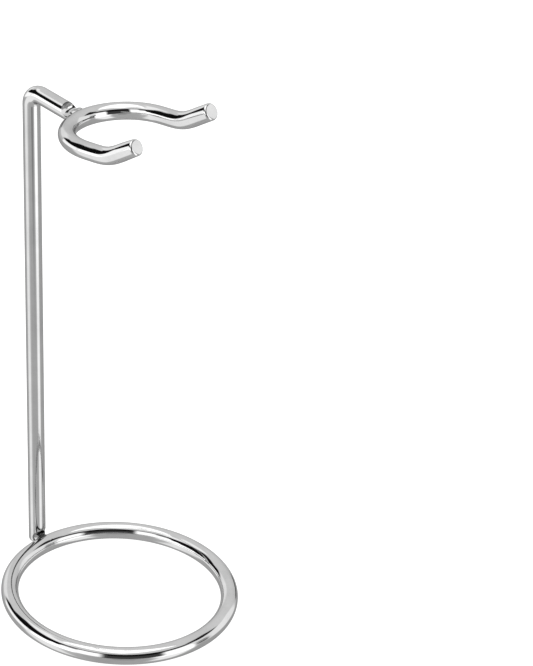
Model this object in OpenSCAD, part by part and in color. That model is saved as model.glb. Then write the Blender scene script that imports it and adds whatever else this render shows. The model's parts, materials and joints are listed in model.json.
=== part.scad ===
// Counter-top razor stand of bent round wire: a closed ring lies flat as the base, an upright
// welded to its outer side leans back slightly and bends over into a short arm, and the arm
// carries a U-shaped cradle with raised tips.
// Origin: centre of the base ring on the surface it rests on. +Z is up and -Y is the side that
// the cradle opens to.

/* [Wire] */
// Diameter of the round wire that every piece is bent from
wire_d = 5; // [4:0.5:6]
// Radius on the edge of every free wire end
end_round = 0.7; // [0.3:0.1:1.2]

/* [Base ring] */
// Diameter of the ring, measured at the middle of the wire
ring_d = 63.5; // [55:0.5:80]
// Width of the butt weld that closes the ring
seam_w = 1.2; // [0.6:0.2:2]

/* [Upright] */
// Length of the straight upright, from the level of the ring wire to the top bend
post_len = 139.5; // [110:0.5:170]
// How far the upright reaches below the middle of the ring wire
foot_drop = 1; // [0:0.1:1.5]
// Backward lean of the upright, in degrees
post_lean = 3.4; // [0:0.1:6]
// Position of the foot round the ring, in degrees off the cradle's centre line
foot_turn = 7.3; // [0:0.1:12]
// Depth that the two wires are pressed into each other at the foot weld
weld_set = 0.3; // [0.1:0.1:0.8]
// Radius of the top bend, measured at the middle of the wire
bend_r = 3.2; // [3:0.1:6]
// Angle of the top bend, in degrees
bend_angle = 101; // [90:1:110]
// Distance from the top bend to the middle of the cradle wire
arm_reach = 14.6; // [12:0.1:25]

/* [Cradle] */
// Radius of the cradle's U bend, measured at the middle of the wire
u_r = 15.5; // [13:0.1:20]
// Straight length of each prong after the U bend
prong_len = 4.4; // [2:0.1:12]
// Rise of the whole cradle towards its tips, in degrees
cradle_pitch = 5; // [0:0.5:10]
// Radius of the upward bend before each tip, measured at the middle of the wire
tip_bend_r = 12.3; // [8:0.1:20]
// Angle of the upward bend before each tip, in degrees
tip_angle = 29.5; // [15:0.5:45]
// Straight length of each raised tip
tip_len = 8.2; // [4:0.1:12]

/* [Welds] */
// Radius of the groove dressed into the arm's top beside the cradle
arm_groove_r = 2.4; // [1.8:0.1:2.4]
// Distance of that groove's middle behind the cradle wire
arm_groove_back = 3.1; // [2.8:0.1:3.6]
// Height of that groove's middle above the arm's axis
arm_groove_up = 2.1; // [1.8:0.1:3]
// Radius of the groove dressed into the foot above the ring
foot_groove_r = 2.4; // [2.3:0.1:2.4]
// Distance of that groove's middle outside the ring wire
foot_groove_out = 2.9; // [2.8:0.1:3]
// Height of that groove's middle above the ring wire
foot_groove_up = 1.1; // [1:0.1:1.2]
// Radius of each weld nugget
nugget_r = 1.9; // [1.5:0.1:2]
// How far each nugget's middle lies below the middle of the wire
nugget_low = 0.4; // [0.2:0.1:0.5]

/* [Hidden] */
$fn = 96;
// The small weld nuggets are thin, so their curves are drawn finer
fine_fn = 360;
wire_r = wire_d / 2;
// The wire thins a little where it is bent, and each bend laps into the straights beside it
bent_r = wire_r - 0.02;
lap = 0.3;
ring_r = ring_d / 2;
seam_angle = seam_w / ring_r * 180 / PI;
foot_angle = 90 - foot_turn;
foot_out = wire_d - weld_set;
foot_x = (ring_r + foot_out) * cos(foot_angle);
foot_y = (ring_r + foot_out) * sin(foot_angle);
// Directions in the cradle's centre plane, as [y, z]: up the post, square to it towards the
// front, and along the arm
post_up = [sin(post_lean), cos(post_lean)];
post_fwd = [-cos(post_lean), sin(post_lean)];
arm_dir = cos(bend_angle) * post_up + sin(bend_angle) * post_fwd;
arm_drop = bend_angle - 90 - post_lean;
bend_step = bend_r * ((1 - cos(bend_angle)) * post_fwd + sin(bend_angle) * post_up);
// Middle of the cradle wire at the back of the U, as [y, z]
cradle_yz = [foot_y, wire_r] + post_len * post_up + bend_step + arm_reach * arm_dir;
// Where each nugget starts inside the wire it holds, and where the arm's end meets its nugget
nugget_start = 1;
arm_end = 3.4;
foot_nugget_end = 3.2;
groove_len = 4 * wire_d;
// Part of the ring and of the cradle's back that a nugget can reach, in degrees
near_angle = 40;

// Part of a ring of round wire in the XY plane, about the origin
module arc(radius, r, from, sweep) {
    rotate([0, 0, from])
        rotate_extrude(angle = sweep)
            translate([radius, 0])
                circle(r = r);
}

// A straight run of wire along +Z; what follows it carries on from its end
module straight(len) {
    cylinder(r = wire_r, h = len);
    translate([0, 0, len])
        children();
}

// A bend from +Z towards +X; what follows it carries on in the new direction
module bend(radius, angle) {
    lap_angle = lap / radius * 180 / PI;
    translate([radius, 0, 0])
        rotate([90, 0, 0])
            arc(radius, bent_r, 180 - angle - lap_angle, angle + 2 * lap_angle);
    translate([radius, 0, 0])
        rotate([0, angle, 0])
            translate([-radius, 0, 0])
                children();
}

// A cut end of the wire, its edge rounded over, with its full section at the origin
module rounded_end() {
    rotate_extrude() {
        square([wire_r - end_round, end_round]);
        translate([wire_r - end_round, 0])
            intersection() {
                circle(r = end_round);
                square(end_round);
            }
    }
}

// Carries a shape to the foot weld: the middle of the ring wire, +X pointing out and +Z up
module at_foot() {
    rotate([0, 0, foot_angle])
        translate([ring_r, 0, wire_r])
            children();
}

// Carries a shape to the post: the foot, +Z along the post and +X towards the front
module at_post() {
    translate([foot_x, foot_y, wire_r])
        rotate([-post_lean, 0, 0])
            rotate([0, 0, -90])
                children();
}

// Carries a shape to the cradle weld: the middle of the cradle wire, +Z back along the arm and
// +X up
module at_cradle_back() {
    translate([foot_x, cradle_yz[0], cradle_yz[1]])
        rotate([-arm_drop, 0, 0])
            rotate([-90, 0, 0])
                rotate([0, 0, -90])
                    children();
}

// Carries a shape to the cradle, which lies in the XY plane with the U bend's middle at -Y
module at_cradle() {
    translate([foot_x, cradle_yz[0], cradle_yz[1]])
        rotate([-cradle_pitch, 0, 0])
            translate([0, -u_r, 0])
                children();
}

// One prong from the end of the U bend to its raised tip
module prong() {
    translate([u_r, 0, 0])
        rotate([90, 0, 0])
            straight(prong_len)
                rotate([0, 0, 90])
                    bend(tip_bend_r, tip_angle)
                        straight(tip_len - end_round)
                            rounded_end();
}

module base_ring() {
    color("silver")
        translate([0, 0, wire_r])
            arc(ring_r, wire_r, foot_angle + seam_angle / 2, 360 - seam_angle);
}

module ring_seam_weld() {
    color("gray")
        translate([0, 0, wire_r])
            arc(ring_r, wire_r, foot_angle - seam_angle / 2, seam_angle);
}

module upright_post() {
    color("silver")
        difference() {
            at_post()
                translate([0, 0, end_round - foot_drop]) {
                    mirror([0, 0, 1])
                        rounded_end();
                    straight(post_len + foot_drop - end_round)
                        bend(bend_r, bend_angle)
                            straight(arm_reach - arm_end);
                }
            at_cradle_back()
                translate([arm_groove_up, 0, arm_groove_back])
                    rotate([90, 0, 0])
                        cylinder(r = arm_groove_r, h = groove_len, center = true);
            at_foot()
                translate([foot_groove_out, 0, foot_groove_up])
                    rotate([90, 0, 0])
                        cylinder(r = foot_groove_r, h = groove_len, center = true);
        }
}

module foot_weld() {
    $fn = fine_fn;
    color("gray")
        difference() {
            at_foot()
                translate([nugget_start, 0, -nugget_low])
                    rotate([0, 90, 0])
                        cylinder(r = nugget_r, h = foot_nugget_end - nugget_start);
            translate([0, 0, wire_r])
                arc(ring_r, wire_r, foot_angle - near_angle / 2, near_angle);
            at_post()
                cylinder(r = wire_r, h = groove_len, center = true);
        }
}

module cradle_fork() {
    lap_angle = lap / u_r * 180 / PI;
    color("silver")
        at_cradle() {
            arc(u_r, bent_r, -lap_angle, 180 + 2 * lap_angle);
            prong();
            mirror([1, 0, 0])
                prong();
        }
}

module cradle_weld() {
    $fn = fine_fn;
    color("gray")
        difference() {
            at_cradle_back()
                translate([-nugget_low, 0, nugget_start])
                    cylinder(r = nugget_r, h = arm_end - nugget_start);
            at_cradle()
                arc(u_r, bent_r, 90 - near_angle / 2, near_angle);
        }
}

base_ring();
ring_seam_weld();
upright_post();
foot_weld();
cradle_fork();
cradle_weld();
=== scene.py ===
import json
from math import cos, pi, radians, sin

import bpy
from bpy.props import FloatProperty, FloatVectorProperty, PointerProperty, StringProperty
from mathutils import Matrix, Quaternion, Vector, noise


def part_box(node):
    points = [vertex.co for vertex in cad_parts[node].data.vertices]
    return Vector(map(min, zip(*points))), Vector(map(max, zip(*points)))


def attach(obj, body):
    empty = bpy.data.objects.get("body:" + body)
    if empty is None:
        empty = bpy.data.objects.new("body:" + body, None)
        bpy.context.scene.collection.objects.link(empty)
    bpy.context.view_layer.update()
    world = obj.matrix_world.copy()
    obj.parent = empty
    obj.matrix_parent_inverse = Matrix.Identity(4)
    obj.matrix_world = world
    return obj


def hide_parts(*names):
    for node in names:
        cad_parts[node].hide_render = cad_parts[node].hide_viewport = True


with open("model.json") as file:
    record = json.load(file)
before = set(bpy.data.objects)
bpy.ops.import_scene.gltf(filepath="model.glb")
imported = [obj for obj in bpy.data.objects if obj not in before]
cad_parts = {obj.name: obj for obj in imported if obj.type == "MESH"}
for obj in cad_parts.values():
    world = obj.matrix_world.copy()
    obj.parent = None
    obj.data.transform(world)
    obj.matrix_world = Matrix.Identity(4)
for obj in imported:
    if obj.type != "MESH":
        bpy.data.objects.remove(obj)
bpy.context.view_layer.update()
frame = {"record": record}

bl_info = {
    "name": "Chromed wire razor stand",
    "version": (1, 0, 0),
    "blender": (4, 5, 0),
    "location": "View3D > Sidebar > Razor stand",
    "description": "Builds a razor stand of bent chromed wire on a back-lit white table",
    "category": "Add Mesh",
}

MM = 0.001
SLOTS = [m["slot"] for m in frame["record"]["materials"]]
WIRE_SLOT, WELD_SLOT = "chrome_wire", "chrome_weld"
BRIGHT_PLATE, PLATED_WELD = "bright_chrome_plate_on_drawn_wire", "chrome_plate_over_weld_bead"

# The ring lies flat, so its box gives the wire's thickness and the ring's size to a tenth of a
# millimetre
ring_low, ring_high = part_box("base_ring")
WIRE_D = round(ring_high.z - ring_low.z, 4)
RING_D = round(ring_high.x - ring_low.x, 4) - WIRE_D

# How finely the wire is drawn: sides of its section, angle of one step of a bend, steps of the
# ring and its seam, parts of the straight runs, and parts of an eased bend's start
WIRE_SIDES = 64
STEP_ANGLE = radians(2.5)
RING_STEPS, SEAM_STEPS = 240, 16
POST_PARTS, ARM_PARTS = 24, 6
EASE_PARTS = 8
ROUND_STEPS = CROWN_STEPS = 6
# Springy wire eases into a bend over these lengths
TIP_EASE, U_EASE, TOP_EASE = 4 * MM, 3 * MM, 1 * MM
# What is left open in the middle of a drawn end, as a share of its flat, before it is closed
END_HOLE = 0.03
SMOOTH_ANGLE = radians(35)
MERGE_GAP = 1e-6
Z_AXIS = Vector((0, 0, 1))
SIDEWAYS = Vector((1, 0, 0))


def length(name, description, default):
    """A length in metres that a user may change."""
    return FloatProperty(
        name=name, description=description, default=default, min=0,
        subtype="DISTANCE", unit="LENGTH", precision=5,
    )


def angle(name, description, degrees):
    """An angle that a user may change, given here in degrees."""
    return FloatProperty(
        name=name, description=description, default=radians(degrees),
        subtype="ANGLE", unit="ROTATION",
    )


def share(name, description, default, top=1.0):
    """A plain number from nought to top."""
    return FloatProperty(
        name=name, description=description, default=default, min=0, max=top, precision=3
    )


def hex_colour(name, description, default):
    """A colour kept as the sRGB hex value that a maker would quote."""
    return StringProperty(name=name, description=description, default=default)


# Bright boards and dark gaps of the tent round the stand, as seen from it: from left to right of
# the camera and from low to high, in degrees, then brightness, softness of the edge in degrees, and
# rise with each degree to the right. Later ones stand in front of earlier ones
ROOM_CARDS = (
    (-180, -92, -70, -14, 0.65, 8, 0),
    (76, 180, -70, -12, 0.60, 8, 0),
    (-60, 74, 33, 48, 0.35, 4, 0),
    (-142, -56, 48, 62, 1.5, 3, 0),
    (-158, -130, 2, 27, 1.35, 6, 0),
    (-94, -52, -62, -8, 1.35, 7, 0),
    (38, 72, -60, -14, 1.5, 7, 0),
    (-126, -86, -12, 16, 1.7, 3, 0),
    (-84, -36, -10, 27, 2.2, 4, 0),
    (-38, -10, -2, 40, 1.9, 4, 0),
    (-62, -11, 42, 47, 0.04, 2.5, 0),
    (32, 74, -22, 30, 2.0, 4, 0),
    (-120, -54, 20, 45, 0.006, 3, 0),
    (-129, -63, 10.5, 31, 0.006, 3, 0.14),
    (-36, 34, -74, -8, 0.62, 10, 0),
    (-2, 18, -23, -15, 0.30, 4, 0),
    (-13, 43, -8, 30, 0.07, 4, 0),
    (-14, 46, 25, 48, 0.01, 4, 0),
    (44, 86, 36, 46, 0.05, 3, 0),
    (76, 90, 3, 20, 0.50, 4, 0),
    (76, 90, 20, 33, 1.30, 3, 0),
    (75, 90, -6, 4, 0.16, 3, 0),
    (84, 116, 33, 50, 0.02, 3, 0),
    (90, 134, -14, 31, 1.35, 4, 0),
    (140, 157, -7, 4, 0.05, 2.5, 0),
)


# A card's upper and lower edges are sharper than its sides, by this share of their softness
LEVEL_SOFTNESS = 0.6
# The tent brightens from its lower edge to its ceiling between these heights
TENT_FOOT, TENT_TOP = radians(-60), radians(30)


class WireSizes(bpy.types.PropertyGroup):
    wire_d: length("Wire diameter", "Thickness of the round wire", WIRE_D)
    ring_d: length("Ring diameter", "Base ring, at the middle of the wire", RING_D)
    seam_w: length("Seam width", "Butt weld that closes the ring", 1.2 * MM)
    post_len: length("Upright length", "From the ring wire's level to the top bend", 139.5 * MM)
    foot_drop: length("Foot drop", "How far the upright reaches below the ring wire", 1 * MM)
    post_lean: angle("Upright lean", "Backward lean of the upright", 3.4)
    foot_turn: angle("Foot turn", "Foot's place round the ring, off the centre line", 7.3)
    foot_gap: length("Foot gap", "From the ring wire's middle to the upright's", WIRE_D - 0.3 * MM)
    bend_r: length("Bend radius", "Top bend, at the middle of the wire", 3.2 * MM)
    bend_angle: angle("Bend angle", "Angle of the top bend", 101)
    arm_reach: length("Arm reach", "From the top bend to the cradle wire", 14.6 * MM)
    u_r: length("U radius", "Cradle's U bend, at the middle of the wire", 15.5 * MM)
    prong_len: length("Prong length", "Straight part after the U bend", 4.4 * MM)
    cradle_pitch: angle("Cradle pitch", "Rise of the cradle towards its tips", 5)
    tip_bend_r: length("Tip bend radius", "Upward bend before each tip", 12.3 * MM)
    tip_angle: angle("Tip angle", "Angle of the upward bend before each tip", 29.5)
    tip_len: length("Tip length", "Straight raised tip", 8.2 * MM)
    tip_taper: length("Tip taper", "Length over which a tip thins to its end", 5 * MM)
    near_tip_d: length("Left tip diameter", "Left tip's end, ground a little thinner", 4.7 * MM)
    far_tip_d: length("Right tip diameter", "The right tip's end", 4.95 * MM)
    tip_round: length("Tip edge radius", "Polished edge of each tip", 0.62 * MM)
    foot_round: length("Foot edge radius", "Tumbled edge of the upright's cut foot", 1.1 * MM)
    face_crown: length("End crown", "How far a polished cut end stands proud", 0.05 * MM)


class WeldSizes(bpy.types.PropertyGroup):
    arm_groove_r: length("Arm scoop radius", "Dished scoop in the arm's top", 2.65 * MM)
    arm_groove_back: length("Arm scoop distance", "Its middle, behind the cradle wire", 3.3 * MM)
    arm_groove_up: length("Arm scoop height", "Its middle, above the arm's axis", 2.1 * MM)
    arm_groove_w: length("Arm scoop width", "Half the length of the burr that cut it", 4.2 * MM)
    arm_groove_side: length("Arm scoop offset", "Its middle, left of the arm's middle", 0.8 * MM)
    arm_end: length("Arm end", "Where the arm stops, from the cradle wire's middle", 1.7 * MM)
    foot_groove_r: length("Foot scoop radius", "Dished scoop above the ring", 2.4 * MM)
    foot_groove_out: length("Foot scoop distance", "Its middle, outside the ring wire", 2.9 * MM)
    foot_groove_up: length("Foot scoop height", "Its middle, above the ring wire", 1.1 * MM)
    foot_groove_w: length("Foot scoop width", "Half the length of the burr that cut it", 2.8 * MM)
    arm_bead: FloatVectorProperty(
        name="Arm bead", description="Half sizes along, across and up", size=3,
        default=(1.25 * MM, 2.5 * MM, 1.5 * MM), subtype="XYZ_LENGTH", unit="LENGTH", precision=5,
    )
    foot_bead: FloatVectorProperty(
        name="Foot bead", description="Half sizes out, across and up", size=3,
        default=(1.3 * MM, 1.9 * MM, 1.4 * MM), subtype="XYZ_LENGTH", unit="LENGTH", precision=5,
    )
    arm_bead_back: length("Arm bead distance", "Its middle, behind the cradle wire", 1.9 * MM)
    arm_bead_up: length("Arm bead height", "Its middle, above the arm's axis", 0.7 * MM)
    foot_bead_out: length("Foot bead distance", "Its middle, outside the ring wire", 2.2 * MM)
    foot_bead_up: length("Foot bead height", "Its middle, above the ring wire", 0.1 * MM)
    ripple: length("Ripple", "Depth of the frozen ripples on a bead", 0.012 * MM)
    ripple_gap: length("Ripple spacing", "From one frozen ripple to the next", 0.55 * MM)
    seam_proud: length("Seam height", "How far the ring's ground seam stands proud", 0.01 * MM)


class Finishes(bpy.types.PropertyGroup):
    chrome: hex_colour("Chrome", "Bright chrome plate", "#C9C9C9")
    chrome_thin: hex_colour("Thin chrome", "Where the plate is thinner or handled", "#BEBEBE")
    chrome_edge: hex_colour("Chrome edge", "Chrome seen along its surface", "#D8D8D8")
    weld: hex_colour("Weld", "Plate over a weld bead", "#C4C4C4")
    weld_dark: hex_colour("Weld hollows", "Plate in the hollows of a bead", "#9C9C9C")
    table: hex_colour("Table", "Body of the table's white sheet", "#8A8A8A")
    table_grain: hex_colour("Table grain", "Grain of the table's sheet", "#848484")
    gloss: share("Wire roughness", "Roughness of the bright plate", 0.045)
    table_glow: share("Table glow", "Brightness of the light behind the table", 1.0, 10)
    weld_gloss: share("Weld roughness", "Roughness of the plate over a bead", 0.08)


class Studio(bpy.types.PropertyGroup):
    camera_turn: angle("Camera turn", "Camera's place round the stand, from the front", -51.28)
    camera_rise: angle("Camera height", "Camera's angle above the table", 34.65)
    camera_away: length("Camera distance", "From the middle of the ring wire", 883.9 * MM)
    aim: FloatVectorProperty(
        name="Aim", description="Point that the middle of the view falls on", size=3,
        default=(52.44 * MM, -6.86 * MM, 70.14 * MM), subtype="TRANSLATION", unit="LENGTH",
        precision=5,
    )
    camera_roll: angle("Camera roll", "Turn of the camera about its own line of sight", 4.62)
    lens: FloatProperty(
        name="Lens", description="Focal length, on a 36 mm frame", default=164.36,
        subtype="DISTANCE_CAMERA", unit="CAMERA",
    )
    table_size: length("Table size", "Side of the square table top", 6.0)
    tent_top: share("Tent ceiling", "Brightness of the tent's ceiling", 1.0, 10)
    tent_foot: share("Tent foot", "Brightness of the tent's lower edge", 0.65, 10)
    lamp_power: share("Top light", "Power of the soft light over the stand, in watts", 5.0, 1000)
    lamp_size: length("Top light size", "Side of the square light over the stand", 1.2)
    lamp_height: length("Top light height", "Height of that light above the table", 1.6)


def settings():
    """The scene's four groups of sizes and finishes."""
    scene = bpy.context.scene
    return scene.stand_wire, scene.stand_weld, scene.stand_finish, scene.stand_studio


# ---- working in edit mode ----


def deselect():
    """Leaves nothing selected, CAD nodes included."""
    if bpy.context.object and bpy.context.object.mode == "EDIT":
        bpy.ops.object.mode_set(mode="OBJECT")
    bpy.ops.object.select_all(action="DESELECT")


def only(piece):
    """Makes this piece the one that object operators act on."""
    deselect()
    piece.select_set(True)
    bpy.context.view_layer.objects.active = piece


def settle(name):
    """Names the new primitive, and puts its place into its mesh."""
    piece = bpy.context.object
    piece.name = piece.data.name = name
    bpy.ops.object.transform_apply(location=True, rotation=True, scale=True)
    return piece


def apply_modifier(piece, kind, **values):
    """Adds a modifier to the piece and applies it."""
    only(piece)
    modifier = piece.modifiers.new(kind.title(), kind)
    for key, value in values.items():
        setattr(modifier, key, value)
    bpy.ops.object.modifier_apply(modifier=modifier.name)


def drop(piece):
    """Takes a cutting tool away again."""
    mesh = piece.data
    bpy.data.objects.remove(piece)
    bpy.data.meshes.remove(mesh)


def cut(piece, tool):
    """Cuts the tool's shape out of the piece."""
    apply_modifier(piece, "BOOLEAN", operation="DIFFERENCE", solver="EXACT", object=tool)
    drop(tool)


def finish_mesh(piece):
    """Closes, welds up and turns outwards a built shell, then smooths it."""
    only(piece)
    bpy.ops.object.mode_set(mode="EDIT")
    bpy.ops.mesh.select_all(action="SELECT")
    bpy.ops.mesh.remove_doubles(threshold=MERGE_GAP)
    bpy.ops.mesh.fill_holes(sides=0)
    bpy.ops.mesh.select_all(action="SELECT")
    bpy.ops.mesh.normals_make_consistent(inside=False)
    bpy.ops.object.mode_set(mode="OBJECT")
    bpy.ops.object.shade_smooth_by_angle(angle=SMOOTH_ANGLE)


# ---- bending wire ----


class Wire:
    """A wire as it is drawn and bent: a round section that is pushed on and turned in edit mode.

    It keeps the line of its middle, so that a finish can follow it."""

    def __init__(self, name, place, heading, side, radius):
        self.place, self.heading = Vector(place), Vector(heading).normalized()
        self.side = (Vector(side) - Vector(side).dot(self.heading) * self.heading).normalized()
        self.radius, self.run, self.line = radius, 0.0, []
        across = self.heading.cross(self.side)
        turn = Matrix((self.side, across, self.heading)).transposed().to_euler()
        deselect()
        bpy.ops.mesh.primitive_circle_add(
            vertices=WIRE_SIDES, radius=radius, fill_type="NOTHING", location=self.place, rotation=turn
        )
        self.piece = settle(name)
        bpy.ops.object.mode_set(mode="EDIT")
        bpy.ops.mesh.select_all(action="SELECT")
        self.mark()

    def mark(self):
        """Notes where the middle of the wire is."""
        self.line.append((self.place.copy(), self.heading.copy(), self.side.copy(), self.run))

    def push(self, distance, radius=None):
        """Carries the wire on in a straight line, to another radius if one is given."""
        self.place = self.place + distance * self.heading
        self.run += distance
        bpy.ops.mesh.extrude_region_move(
            TRANSFORM_OT_translate={"value": distance * self.heading}
        )
        if radius is not None and radius != self.radius:
            bpy.ops.transform.resize(
                value=(radius / self.radius,) * 3, center_override=self.place
            )
            self.radius = radius
        self.mark()

    def straight(self, distance, parts=1):
        """A straight run, in some parts."""
        for _ in range(parts):
            self.push(distance / parts)

    def bend(self, radius, sweep, toward, steps=None):
        """A bend of that radius, measured at the middle of the wire, towards a direction."""
        toward = (Vector(toward) - Vector(toward).dot(self.heading) * self.heading).normalized()
        centre, axis = self.place + radius * toward, self.heading.cross(toward)
        steps = steps or max(1, round(sweep / STEP_ANGLE))
        # In a background run with no window, spin turns against its axis
        bpy.ops.mesh.spin(steps=steps, angle=-sweep, center=centre, axis=axis)
        start, heading, side = self.place - centre, self.heading, self.side
        for step in range(1, steps + 1):
            turn = Quaternion(axis, sweep * step / steps)
            self.place = centre + turn @ start
            self.heading, self.side = turn @ heading, turn @ side
            self.run += radius * sweep / steps
            self.mark()

    def soft_bend(self, radius, sweep, toward, ease):
        """A bend that tightens and opens again over a short length, as springy wire does. Each
        straight beside it is half that length shorter."""
        axis = self.heading.cross(Vector(toward)).normalized()
        curves = [(k + 0.5) / EASE_PARTS / radius for k in range(EASE_PARTS)]
        part = ease / EASE_PARTS
        for curve in curves:
            self.bend(1 / curve, part * curve, axis.cross(self.heading))
        self.bend(radius, sweep - 2 * part * sum(curves), axis.cross(self.heading))
        for curve in reversed(curves):
            self.bend(1 / curve, part * curve, axis.cross(self.heading))

    def close(self):
        """Leaves edit mode and closes the wire's ends."""
        bpy.ops.object.mode_set(mode="OBJECT")
        finish_mesh(self.piece)
        return self.piece


def end_profile(radius, edge, crown):
    """A cut and polished wire end, as pairs of radius and distance past the full section."""
    points = [
        (radius - edge + edge * cos(t), edge * sin(t))
        for t in (radians(90) * k / ROUND_STEPS for k in range(ROUND_STEPS + 1))
    ]
    flat = radius - edge
    for k in range(1, CROWN_STEPS + 1):
        reach = flat * (1 - (1 - END_HOLE) * k / CROWN_STEPS)
        points.append((reach, edge + crown * (1 - (reach / flat) ** 2)))
    return points


def follow_line(piece, line):
    """Writes each point's place as if its wire were pulled straight: across, across, along."""
    values = []
    for vertex in piece.data.vertices:
        _, nearest = min(
            ((vertex.co - place).length_squared, k) for k, (place, _, _, _) in enumerate(line)
        )
        place, heading, side, run = line[nearest]
        offset = vertex.co - place
        values += [
            offset.dot(side), offset.dot(heading.cross(side)), run + offset.dot(heading)
        ]
    attribute = piece.data.attributes.new("wire_place", "FLOAT_VECTOR", "POINT")
    attribute.data.foreach_set("vector", values)


# ---- places shared by the pieces ----


def foot_frame(wire):
    """The foot weld: the middle of the ring wire, outwards, along the ring and up."""
    turn = radians(90) - wire.foot_turn
    out = Vector((cos(turn), sin(turn), 0))
    return out * wire.ring_d / 2 + Z_AXIS * wire.wire_d / 2, out, Z_AXIS.cross(out)


def post_start(wire):
    """The middle of the upright at the ring wire's level, its direction and its front."""
    middle, out, _ = foot_frame(wire)
    along = Vector((0, sin(wire.post_lean), cos(wire.post_lean)))
    front = Vector((0, -cos(wire.post_lean), sin(wire.post_lean)))
    return middle + out * wire.foot_gap, along, front


def cradle_back(wire):
    """The middle of the cradle wire at the back of its U, the arm's direction and its top side."""
    start, up, front = post_start(wire)
    arm = cos(wire.bend_angle) * up + sin(wire.bend_angle) * front
    bent = wire.bend_r * ((1 - cos(wire.bend_angle)) * front + sin(wire.bend_angle) * up)
    raised = SIDEWAYS.cross(arm).normalized()
    if raised.z < 0:
        raised = -raised
    return start + wire.post_len * up + bent + wire.arm_reach * arm, arm, raised


def scoop(name, place, axis, radius, half_width):
    """A round-nosed burr's shape: a ball drawn out along its axle, so that its cut is dished."""
    turn = axis.to_track_quat("Z", "Y").to_euler()
    deselect()
    bpy.ops.mesh.primitive_uv_sphere_add(
        segments=96, ring_count=64, radius=1, location=place, rotation=turn,
        scale=(radius, radius, half_width),
    )
    return settle(name)


# Frozen ripples bow backwards across a bead, and round lumps wider than the ripples lie under them
RIPPLE_BOW, RIPPLE_SHARE = 0.35, 0.5
LUMP_WIDER, LUMP_SHARE = 2.2, 1.2


def bead(name, place, ways, half, ripple, gap):
    """A weld bead: a ball drawn out along its three ways to its half sizes, with frozen ripples
    in its skin."""
    along, across, _ = ways
    turn = Matrix(ways).transposed().to_euler()
    deselect()
    bpy.ops.mesh.primitive_uv_sphere_add(
        segments=96, ring_count=48, radius=1, location=place, rotation=turn, scale=half
    )
    piece = settle(name)
    for vertex in piece.data.vertices:
        offset = vertex.co - place
        # A bead is nearly as thick at its ends as in its middle
        fuller = (1 + (offset.dot(across) / half[1]) ** 2) ** 0.5
        offset = offset.dot(across) * across + fuller * (offset - offset.dot(across) * across)
        vertex.co = place + offset
        outward = sum(
            (offset.dot(way) / size ** 2 * way for way, size in zip(ways, half)),
            Vector((0, 0, 0)),
        ).normalized()
        bow = RIPPLE_BOW * offset.dot(along) ** 2 / half[0]
        wave = sin(2 * pi * (offset.dot(across) + bow) / gap)
        lump = noise.noise(vertex.co / (LUMP_WIDER * gap))
        vertex.co += outward * ripple * (RIPPLE_SHARE * wave + LUMP_SHARE * lump)
    finish_mesh(piece)
    return piece


# ---- materials ----


def linear(hex_value):
    """An sRGB hex colour as the linear RGBA that a shader takes."""
    parts = [int(hex_value[k:k + 2], 16) / 255 for k in (1, 3, 5)]
    return [c / 12.92 if c <= 0.04045 else ((c + 0.055) / 1.055) ** 2.4 for c in parts] + [1]


def node(tree, kind, values=None, links=None, **traits):
    """Adds a node with its settings, its input values and the sockets linked into it."""
    made = tree.nodes.new("ShaderNode" + kind)
    for key, value in traits.items():
        setattr(made, key, value)
    for key, value in (values or {}).items():
        made.inputs[key].default_value = value
    for key, socket in (links or {}).items():
        tree.links.new(socket, made.inputs[key])
    return made


def new_material(name):
    """An empty node material and its tree."""
    material = bpy.data.materials.new(name)
    material.use_nodes = True
    material.node_tree.nodes.clear()
    return material, material.node_tree


# Haze is this much rougher than the clear plate
HAZE_DULLER = 2.2
# A bead's plate is this much smoother and rougher than its middle roughness, on and off its grains
GRAIN_SMOOTHER, GRAIN_ROUGHER = 0.7, 1.6


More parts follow.
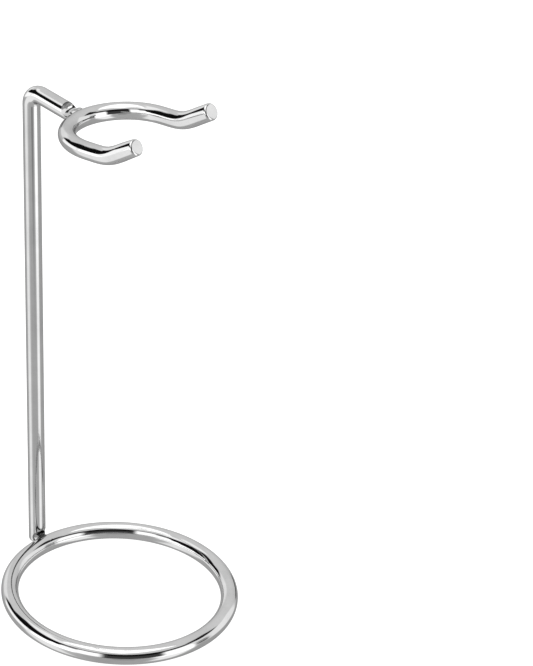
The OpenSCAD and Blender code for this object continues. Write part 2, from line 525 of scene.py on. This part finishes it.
def chrome_wire_material(finish):
    """Bright nickel-chrome plate on cold-drawn steel wire: a near mirror, with the faint lines
    of the drawing die along it, barely wavy, and a slightly duller haze where it is handled."""
    material, tree = new_material(BRIGHT_PLATE)
    along = node(tree, "Attribute", attribute_name="wire_place").outputs["Vector"]
    # Die lines 0.25 mm apart round the wire and 30 mm long: drawn coarser than the real 0.02 mm
    # lines, so that they show
    stretched = node(tree, "Mapping", {"Scale": (4000, 4000, 33)}, {"Vector": along})
    lines = node(tree, "TexNoise", {"Scale": 1, "Detail": 3, "Roughness": 0.6},
                 {"Vector": stretched.outputs["Vector"]})
    # The plate levels into soft waves about 5 mm long
    long_waves = node(tree, "Mapping", {"Scale": (260, 260, 160)}, {"Vector": along})
    waves = node(tree, "TexNoise", {"Scale": 1, "Detail": 1},
                 {"Vector": long_waves.outputs["Vector"]})
    # Haze in patches about 8 mm across
    patches = node(tree, "Mapping", {"Scale": (120, 120, 120)}, {"Vector": along})
    haze = node(tree, "TexNoise", {"Scale": 1, "Detail": 4, "Roughness": 0.65},
                {"Vector": patches.outputs["Vector"]})
    gloss = node(tree, "MapRange",
                 {"From Min": 0.35, "From Max": 0.7, "To Min": finish.gloss,
                  "To Max": finish.gloss * HAZE_DULLER},
                 {"Value": haze.outputs["Fac"]})
    colour = node(tree, "ValToRGB", None, {"Fac": haze.outputs["Fac"]})
    colour.color_ramp.elements[0].position = 0.35
    colour.color_ramp.elements[0].color = linear(finish.chrome)
    colour.color_ramp.elements[1].position = 0.75
    colour.color_ramp.elements[1].color = linear(finish.chrome_thin)
    wavy = node(tree, "Bump", {"Strength": 0.1, "Distance": 0.00003},
                {"Height": waves.outputs["Fac"]})
    drawn = node(tree, "Bump", {"Strength": 0.25, "Distance": 0.000004},
                 {"Height": lines.outputs["Fac"], "Normal": wavy.outputs["Normal"]})
    shader = node(tree, "BsdfPrincipled",
                  {"Metallic": 1, "Specular Tint": linear(finish.chrome_edge)},
                  {"Base Color": colour.outputs["Color"], "Roughness": gloss.outputs["Result"],
                   "Normal": drawn.outputs["Normal"]})
    node(tree, "OutputMaterial", None, {"Surface": shader.outputs["BSDF"]})
    return material


def chrome_weld_material(finish):
    """Chrome plate over an unground weld bead: the same metal, a little duller and uneven,
    because the plate follows the frozen ripples and is thin in their hollows."""
    material, tree = new_material(PLATED_WELD)
    place = node(tree, "TexCoord").outputs["Object"]
    # Grains of spatter 0.3 mm across
    grain = node(tree, "TexNoise", {"Scale": 3300, "Detail": 4, "Roughness": 0.6}, {"Vector": place})
    # Hollows 0.9 mm across
    hollows = node(tree, "TexNoise", {"Scale": 1100, "Detail": 2}, {"Vector": place})
    colour = node(tree, "ValToRGB", None, {"Fac": hollows.outputs["Fac"]})
    colour.color_ramp.elements[0].position = 0.38
    colour.color_ramp.elements[0].color = linear(finish.weld_dark)
    colour.color_ramp.elements[1].position = 0.55
    colour.color_ramp.elements[1].color = linear(finish.weld)
    gloss = node(tree, "MapRange",
                 {"From Min": 0.3, "From Max": 0.7,
                  "To Min": finish.weld_gloss * GRAIN_SMOOTHER,
                  "To Max": finish.weld_gloss * GRAIN_ROUGHER},
                 {"Value": grain.outputs["Fac"]})
    rough = node(tree, "Bump", {"Strength": 0.15, "Distance": 0.00002},
                 {"Height": grain.outputs["Fac"]})
    shader = node(tree, "BsdfPrincipled",
                  {"Metallic": 1, "Specular Tint": linear(finish.chrome_edge)},
                  {"Base Color": colour.outputs["Color"], "Roughness": gloss.outputs["Result"],
                   "Normal": rough.outputs["Normal"]})
    node(tree, "OutputMaterial", None, {"Surface": shader.outputs["BSDF"]})
    return material


def table_material(finish):
    """White acrylic lit from behind: an even white glow, with a faint grain that only shows
    close to."""
    material, tree = new_material("backlit_white_acrylic")
    place = node(tree, "TexCoord").outputs["Object"]
    # Cast grain 1.5 mm across
    grain = node(tree, "TexNoise", {"Scale": 650, "Detail": 3}, {"Vector": place})
    colour = node(tree, "ValToRGB", None, {"Fac": grain.outputs["Fac"]})
    colour.color_ramp.elements[0].color = linear(finish.table_grain)
    colour.color_ramp.elements[1].color = linear(finish.table)
    bumps = node(tree, "Bump", {"Strength": 0.1, "Distance": 0.00005},
                 {"Height": grain.outputs["Fac"]})
    shader = node(tree, "BsdfPrincipled",
                  {"Roughness": 0.7, "Specular IOR Level": 0.2, "Emission Color": (1, 1, 1, 1),
                   "Emission Strength": finish.table_glow},
                  {"Base Color": colour.outputs["Color"], "Normal": bumps.outputs["Normal"]})
    node(tree, "OutputMaterial", None, {"Surface": shader.outputs["BSDF"]})
    return material


MATERIALS = {BRIGHT_PLATE: chrome_wire_material, PLATED_WELD: chrome_weld_material}


def dress(piece, finish_name):
    """Gives the piece its one material, made the first time that it is needed."""
    made = bpy.data.materials.get(finish_name)
    if made is None:
        made = MATERIALS[finish_name](bpy.context.scene.stand_finish)
    piece.data.materials.clear()
    piece.data.materials.append(made)


def hand_over(piece, node_name, slot):
    """The piece stands for its CAD node and rides with it; the record must hold its slot."""
    if slot not in SLOTS:
        raise RuntimeError(f"the record has no slot named {slot}")
    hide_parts(node_name)
    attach(piece, "root")


# ---- operators ----


# The seam is ground flush and plated with the ring, so it has the ring's finish
RING_NODES = {"ring": ("base_ring", WIRE_SLOT), "ring_seam": ("ring_seam_weld", WELD_SLOT)}


class STAND_OT_ring(bpy.types.Operator):
    """Bends the base ring and closes it with its ground butt weld."""
    bl_idname = "stand.ring"
    bl_label = "Base ring"

    def execute(self, context):
        wire, weld, _, _ = settings()
        _, out, round_ring = foot_frame(wire)
        seam = wire.seam_w / wire.ring_d
        self.bend_part("ring", wire, out, round_ring, seam, 2 * pi - 2 * seam, RING_STEPS, 0)
        self.bend_part(
            "ring_seam", wire, out, round_ring, -seam, 2 * seam, SEAM_STEPS, weld.seam_proud
        )
        return {"FINISHED"}

    def bend_part(self, name, wire, out, round_ring, begin, sweep, steps, swell):
        """One closed length of the ring, from an angle past the foot, swollen in its middle."""
        turn = Quaternion(Z_AXIS, begin)
        spoke = turn @ out
        start = spoke * wire.ring_d / 2 + Z_AXIS * wire.wire_d / 2
        bent = Wire(name, start, turn @ round_ring, spoke, wire.wire_d / 2)
        bent.bend(wire.ring_d / 2, sweep, -spoke, steps)
        if swell:
            bpy.ops.object.mode_set(mode="OBJECT")
            for vertex in bent.piece.data.vertices:
                k = min(range(steps + 1), key=lambda j: (vertex.co - bent.line[j][0]).length_squared)
                away = (vertex.co - bent.line[k][0]).normalized()
                vertex.co += away * swell * sin(pi * k / steps)
        piece = bent.close()
        follow_line(piece, bent.line)
        dress(piece, BRIGHT_PLATE)
        node_name, slot = RING_NODES[name]
        hand_over(piece, node_name, slot)


class STAND_OT_post(bpy.types.Operator):
    """Bends the upright over into its arm and dresses a scoop beside each of its welds."""
    bl_idname = "stand.post"
    bl_label = "Upright and arm"

    def execute(self, context):
        wire, weld, _, _ = settings()
        start, up, front = post_start(wire)
        radius = wire.wire_d / 2
        profile = end_profile(radius, wire.foot_round, wire.face_crown)
        tip = start - up * wire.foot_drop
        first_r, first_out = profile[-1]
        lift = wire.foot_round - first_out
        bent = Wire("upright", tip + up * lift, up, front, first_r)
        for (r, out), (_, before) in zip(reversed(profile[:-1]), reversed(profile[1:])):
            bent.push(before - out, r)
        bent.straight(wire.post_len + wire.foot_drop - wire.foot_round - TOP_EASE / 2, POST_PARTS)
        bent.soft_bend(wire.bend_r, wire.bend_angle, front, TOP_EASE)
        bent.straight(wire.arm_reach - weld.arm_end - TOP_EASE / 2, ARM_PARTS)
        piece = bent.close()
        back, arm, raised = cradle_back(wire)
        cut(piece, scoop(
            "arm_scoop", back - arm * weld.arm_groove_back + raised * weld.arm_groove_up
            - SIDEWAYS * weld.arm_groove_side, SIDEWAYS, weld.arm_groove_r, weld.arm_groove_w,
        ))
        middle, out, round_ring = foot_frame(wire)
        cut(piece, scoop(
            "foot_scoop", middle + out * weld.foot_groove_out + Z_AXIS * weld.foot_groove_up,
            round_ring, weld.foot_groove_r, weld.foot_groove_w,
        ))
        finish_mesh(piece)
        follow_line(piece, bent.line)
        dress(piece, BRIGHT_PLATE)
        hand_over(piece, "upright_post", WIRE_SLOT)
        return {"FINISHED"}


class STAND_OT_cradle(bpy.types.Operator):
    """Bends the U-shaped cradle with its two raised and polished tips."""
    bl_idname = "stand.cradle"
    bl_label = "Cradle"

    def execute(self, context):
        wire, _, _, _ = settings()
        back, _, _ = cradle_back(wire)
        reach = Vector((0, -cos(wire.cradle_pitch), sin(wire.cradle_pitch)))
        raised = Vector((0, sin(wire.cradle_pitch), cos(wire.cradle_pitch)))
        radius = wire.wire_d / 2
        middle = back + reach * wire.u_r
        # From the left tip to the right one: each tip thins towards its end
        tilt = cos(wire.tip_angle) * reach + sin(wire.tip_angle) * raised
        bend_end = middle - SIDEWAYS * wire.u_r + reach * (
            wire.prong_len + wire.tip_bend_r * sin(wire.tip_angle)
        ) + raised * wire.tip_bend_r * (1 - cos(wire.tip_angle))
        left, right = (
            end_profile(d / 2, wire.tip_round, wire.face_crown)
            for d in (wire.near_tip_d, wire.far_tip_d)
        )
        first_r, first_out = left[-1]
        tip = bend_end + tilt * (wire.tip_len - wire.tip_round + first_out)
        bent = Wire("cradle", tip, -tilt, SIDEWAYS, first_r)
        for (r, out), (_, before) in zip(reversed(left[:-1]), reversed(left[1:])):
            bent.push(before - out, r)
        bent.push(wire.tip_taper, radius)
        tip_run = wire.tip_len - wire.tip_round - wire.tip_taper - TIP_EASE / 2
        prong_run = wire.prong_len - (U_EASE + TIP_EASE) / 2
        bent.straight(tip_run)
        bent.soft_bend(wire.tip_bend_r, wire.tip_angle, raised, TIP_EASE)
        bent.straight(prong_run)
        bent.soft_bend(wire.u_r, radians(180), SIDEWAYS, U_EASE)
        bent.straight(prong_run)
        bent.soft_bend(wire.tip_bend_r, wire.tip_angle, raised, TIP_EASE)
        bent.straight(tip_run)
        bent.push(wire.tip_taper, right[0][0])
        for (r, out), (_, before) in zip(right[1:], right[:-1]):
            bent.push(out - before, r)
        piece = bent.close()
        follow_line(piece, bent.line)
        dress(piece, BRIGHT_PLATE)
        hand_over(piece, "cradle_fork", WIRE_SLOT)
        return {"FINISHED"}


class STAND_OT_welds(bpy.types.Operator):
    """Lays the weld beads that hold the cradle to the arm and the upright to the ring."""
    bl_idname = "stand.welds"
    bl_label = "Weld beads"

    def execute(self, context):
        wire, weld, _, _ = settings()
        back, arm, raised = cradle_back(wire)
        middle, out, round_ring = foot_frame(wire)
        arm_place = back - arm * weld.arm_bead_back + raised * weld.arm_bead_up
        foot_place = middle + out * weld.foot_bead_out + Z_AXIS * weld.foot_bead_up
        for name, node_name, place, ways, half in (
            ("cradle_bead", "cradle_weld", arm_place, (-arm, raised.cross(-arm), raised),
             weld.arm_bead),
            ("foot_bead", "foot_weld", foot_place, (out, round_ring, Z_AXIS), weld.foot_bead),
        ):
            piece = bead(name, place, ways, tuple(half), weld.ripple, weld.ripple_gap)
            dress(piece, PLATED_WELD)
            hand_over(piece, node_name, WELD_SLOT)
        return {"FINISHED"}


class STAND_OT_studio(bpy.types.Operator):
    """Sets the white table, the soft studio light and the camera."""
    bl_idname = "stand.studio"
    bl_label = "Table, light and camera"

    def execute(self, context):
        _, _, finish, studio = settings()
        scene = context.scene
        deselect()
        bpy.ops.mesh.primitive_plane_add(size=studio.table_size, location=(0, 0, 0))
        table = settle("table_top")
        table.data.materials.append(table_material(finish))
        # The tent below the table's edge is what the wire mirrors, not the table
        table.visible_glossy = False
        self.light_room(scene, studio)
        self.hang_light(studio)
        self.place_camera(scene, studio)
        scene.view_settings.view_transform = "Standard"
        return {"FINISHED"}

    def light_room(self, scene, studio):
        """A soft white tent, with bright boxes and dark gaps round it."""
        world = bpy.data.worlds.new("soft_studio")
        scene.world = world
        world.use_nodes = True
        tree = world.node_tree
        tree.nodes.clear()
        facing = node(tree, "TexCoord").outputs["Generated"]
        # Turned so that Y points away from the camera and X to the right of it
        turned = node(tree, "VectorRotate", {"Angle": -studio.camera_turn}, {"Vector": facing},
                      rotation_type="Z_AXIS")
        parts = node(tree, "SeparateXYZ", None, {"Vector": turned.outputs["Vector"]})
        toward = node(tree, "Math", {1: -1}, {0: parts.outputs["Y"]}, operation="MULTIPLY")
        bearing = node(tree, "Math", None, {0: parts.outputs["X"], 1: toward.outputs["Value"]},
                       operation="ARCTAN2")
        height = node(tree, "Math", None, {0: parts.outputs["Z"]}, operation="ARCSINE")
        tent = node(tree, "MapRange",
                    {"From Min": TENT_FOOT, "From Max": TENT_TOP, "To Min": studio.tent_foot,
                     "To Max": studio.tent_top},
                    {"Value": height.outputs["Value"]})
        value = tent.outputs["Result"]
        for left, right, low, high, glow, soft, climb in ROOM_CARDS:
            edges = []
            past = node(tree, "Math", {1: radians((left + right) / 2)},
                        {0: bearing.outputs["Value"]}, operation="SUBTRACT")
            level = node(tree, "Math", {1: -climb},
                         {0: past.outputs["Value"], 2: height.outputs["Value"]},
                         operation="MULTIPLY_ADD")
            for socket, start, end, edge in (
                (bearing, left, right, soft), (level, low, high, soft * LEVEL_SOFTNESS)
            ):
                off = node(tree, "Math", {1: radians((start + end) / 2)},
                           {0: socket.outputs["Value"]}, operation="SUBTRACT")
                off = node(tree, "Math", None, {0: off.outputs["Value"]}, operation="ABSOLUTE")
                half = radians(end - start) / 2
                inside = node(tree, "MapRange",
                              {"From Min": half + radians(edge), "From Max": half - radians(edge)},
                              {"Value": off.outputs["Value"]}, interpolation_type="SMOOTHSTEP")
                edges.append(inside.outputs["Result"])
            mask = node(tree, "Math", None, {0: edges[0], 1: edges[1]}, operation="MULTIPLY")
            mixed = node(tree, "Mix", {"B": glow}, {"Factor": mask.outputs["Value"], "A": value})
            value = mixed.outputs["Result"]
        back = node(tree, "Background", None, {"Color": value})
        node(tree, "OutputWorld", None, {"Surface": back.outputs["Background"]})

    def hang_light(self, studio):
        """One wide soft light straight above the stand."""
        lamp = bpy.data.lights.new("soft_top", "AREA")
        lamp.shape, lamp.size = "SQUARE", studio.lamp_size
        lamp.energy = studio.lamp_power
        holder = bpy.data.objects.new("soft_top", lamp)
        bpy.context.scene.collection.objects.link(holder)
        holder.location = (0, 0, studio.lamp_height)

    def place_camera(self, scene, studio):
        """A long lens from the front left, looking down on the stand."""
        wire = scene.stand_wire
        lens = bpy.data.cameras.new("long_lens")
        lens.lens = studio.lens
        lens.clip_start, lens.clip_end = 0.05, 20
        camera = bpy.data.objects.new("camera", lens)
        scene.collection.objects.link(camera)
        away = Vector((
            sin(studio.camera_turn) * cos(studio.camera_rise),
            -cos(studio.camera_turn) * cos(studio.camera_rise),
            sin(studio.camera_rise),
        ))
        camera.location = away * studio.camera_away + Z_AXIS * wire.wire_d / 2
        sight = (Vector(studio.aim) - camera.location).to_track_quat("-Z", "Y")
        camera.rotation_mode = "QUATERNION"
        camera.rotation_quaternion = sight @ Quaternion(Z_AXIS, studio.camera_roll)
        scene.camera = camera


class STAND_PT_panel(bpy.types.Panel):
    """Lists the stand's pieces and its sizes."""
    bl_idname = "STAND_PT_panel"
    bl_label = "Razor stand"
    bl_space_type = "VIEW_3D"
    bl_region_type = "UI"
    bl_category = "Razor stand"

    def draw(self, context):
        for maker in OPERATORS:
            self.layout.operator(maker.bl_idname)
        for name in GROUPS:
            box = self.layout.box()
            group = getattr(context.scene, name)
            for key in group.__annotations__:
                box.prop(group, key)


GROUPS = {
    "stand_wire": WireSizes, "stand_weld": WeldSizes, "stand_finish": Finishes,
    "stand_studio": Studio,
}
OPERATORS = (STAND_OT_ring, STAND_OT_post, STAND_OT_cradle, STAND_OT_welds, STAND_OT_studio)
CLASSES = (*GROUPS.values(), *OPERATORS, STAND_PT_panel)


def register():
    for kind in CLASSES:
        bpy.utils.register_class(kind)
    for name, group in GROUPS.items():
        setattr(bpy.types.Scene, name, PointerProperty(type=group))


def unregister():
    for name in GROUPS:
        delattr(bpy.types.Scene, name)
    for kind in reversed(CLASSES):
        bpy.utils.unregister_class(kind)


def main():
    register()
    bpy.ops.stand.ring()
    bpy.ops.stand.post()
    bpy.ops.stand.cradle()
    bpy.ops.stand.welds()
    bpy.ops.stand.studio()


if __name__ == "__main__":
    main()
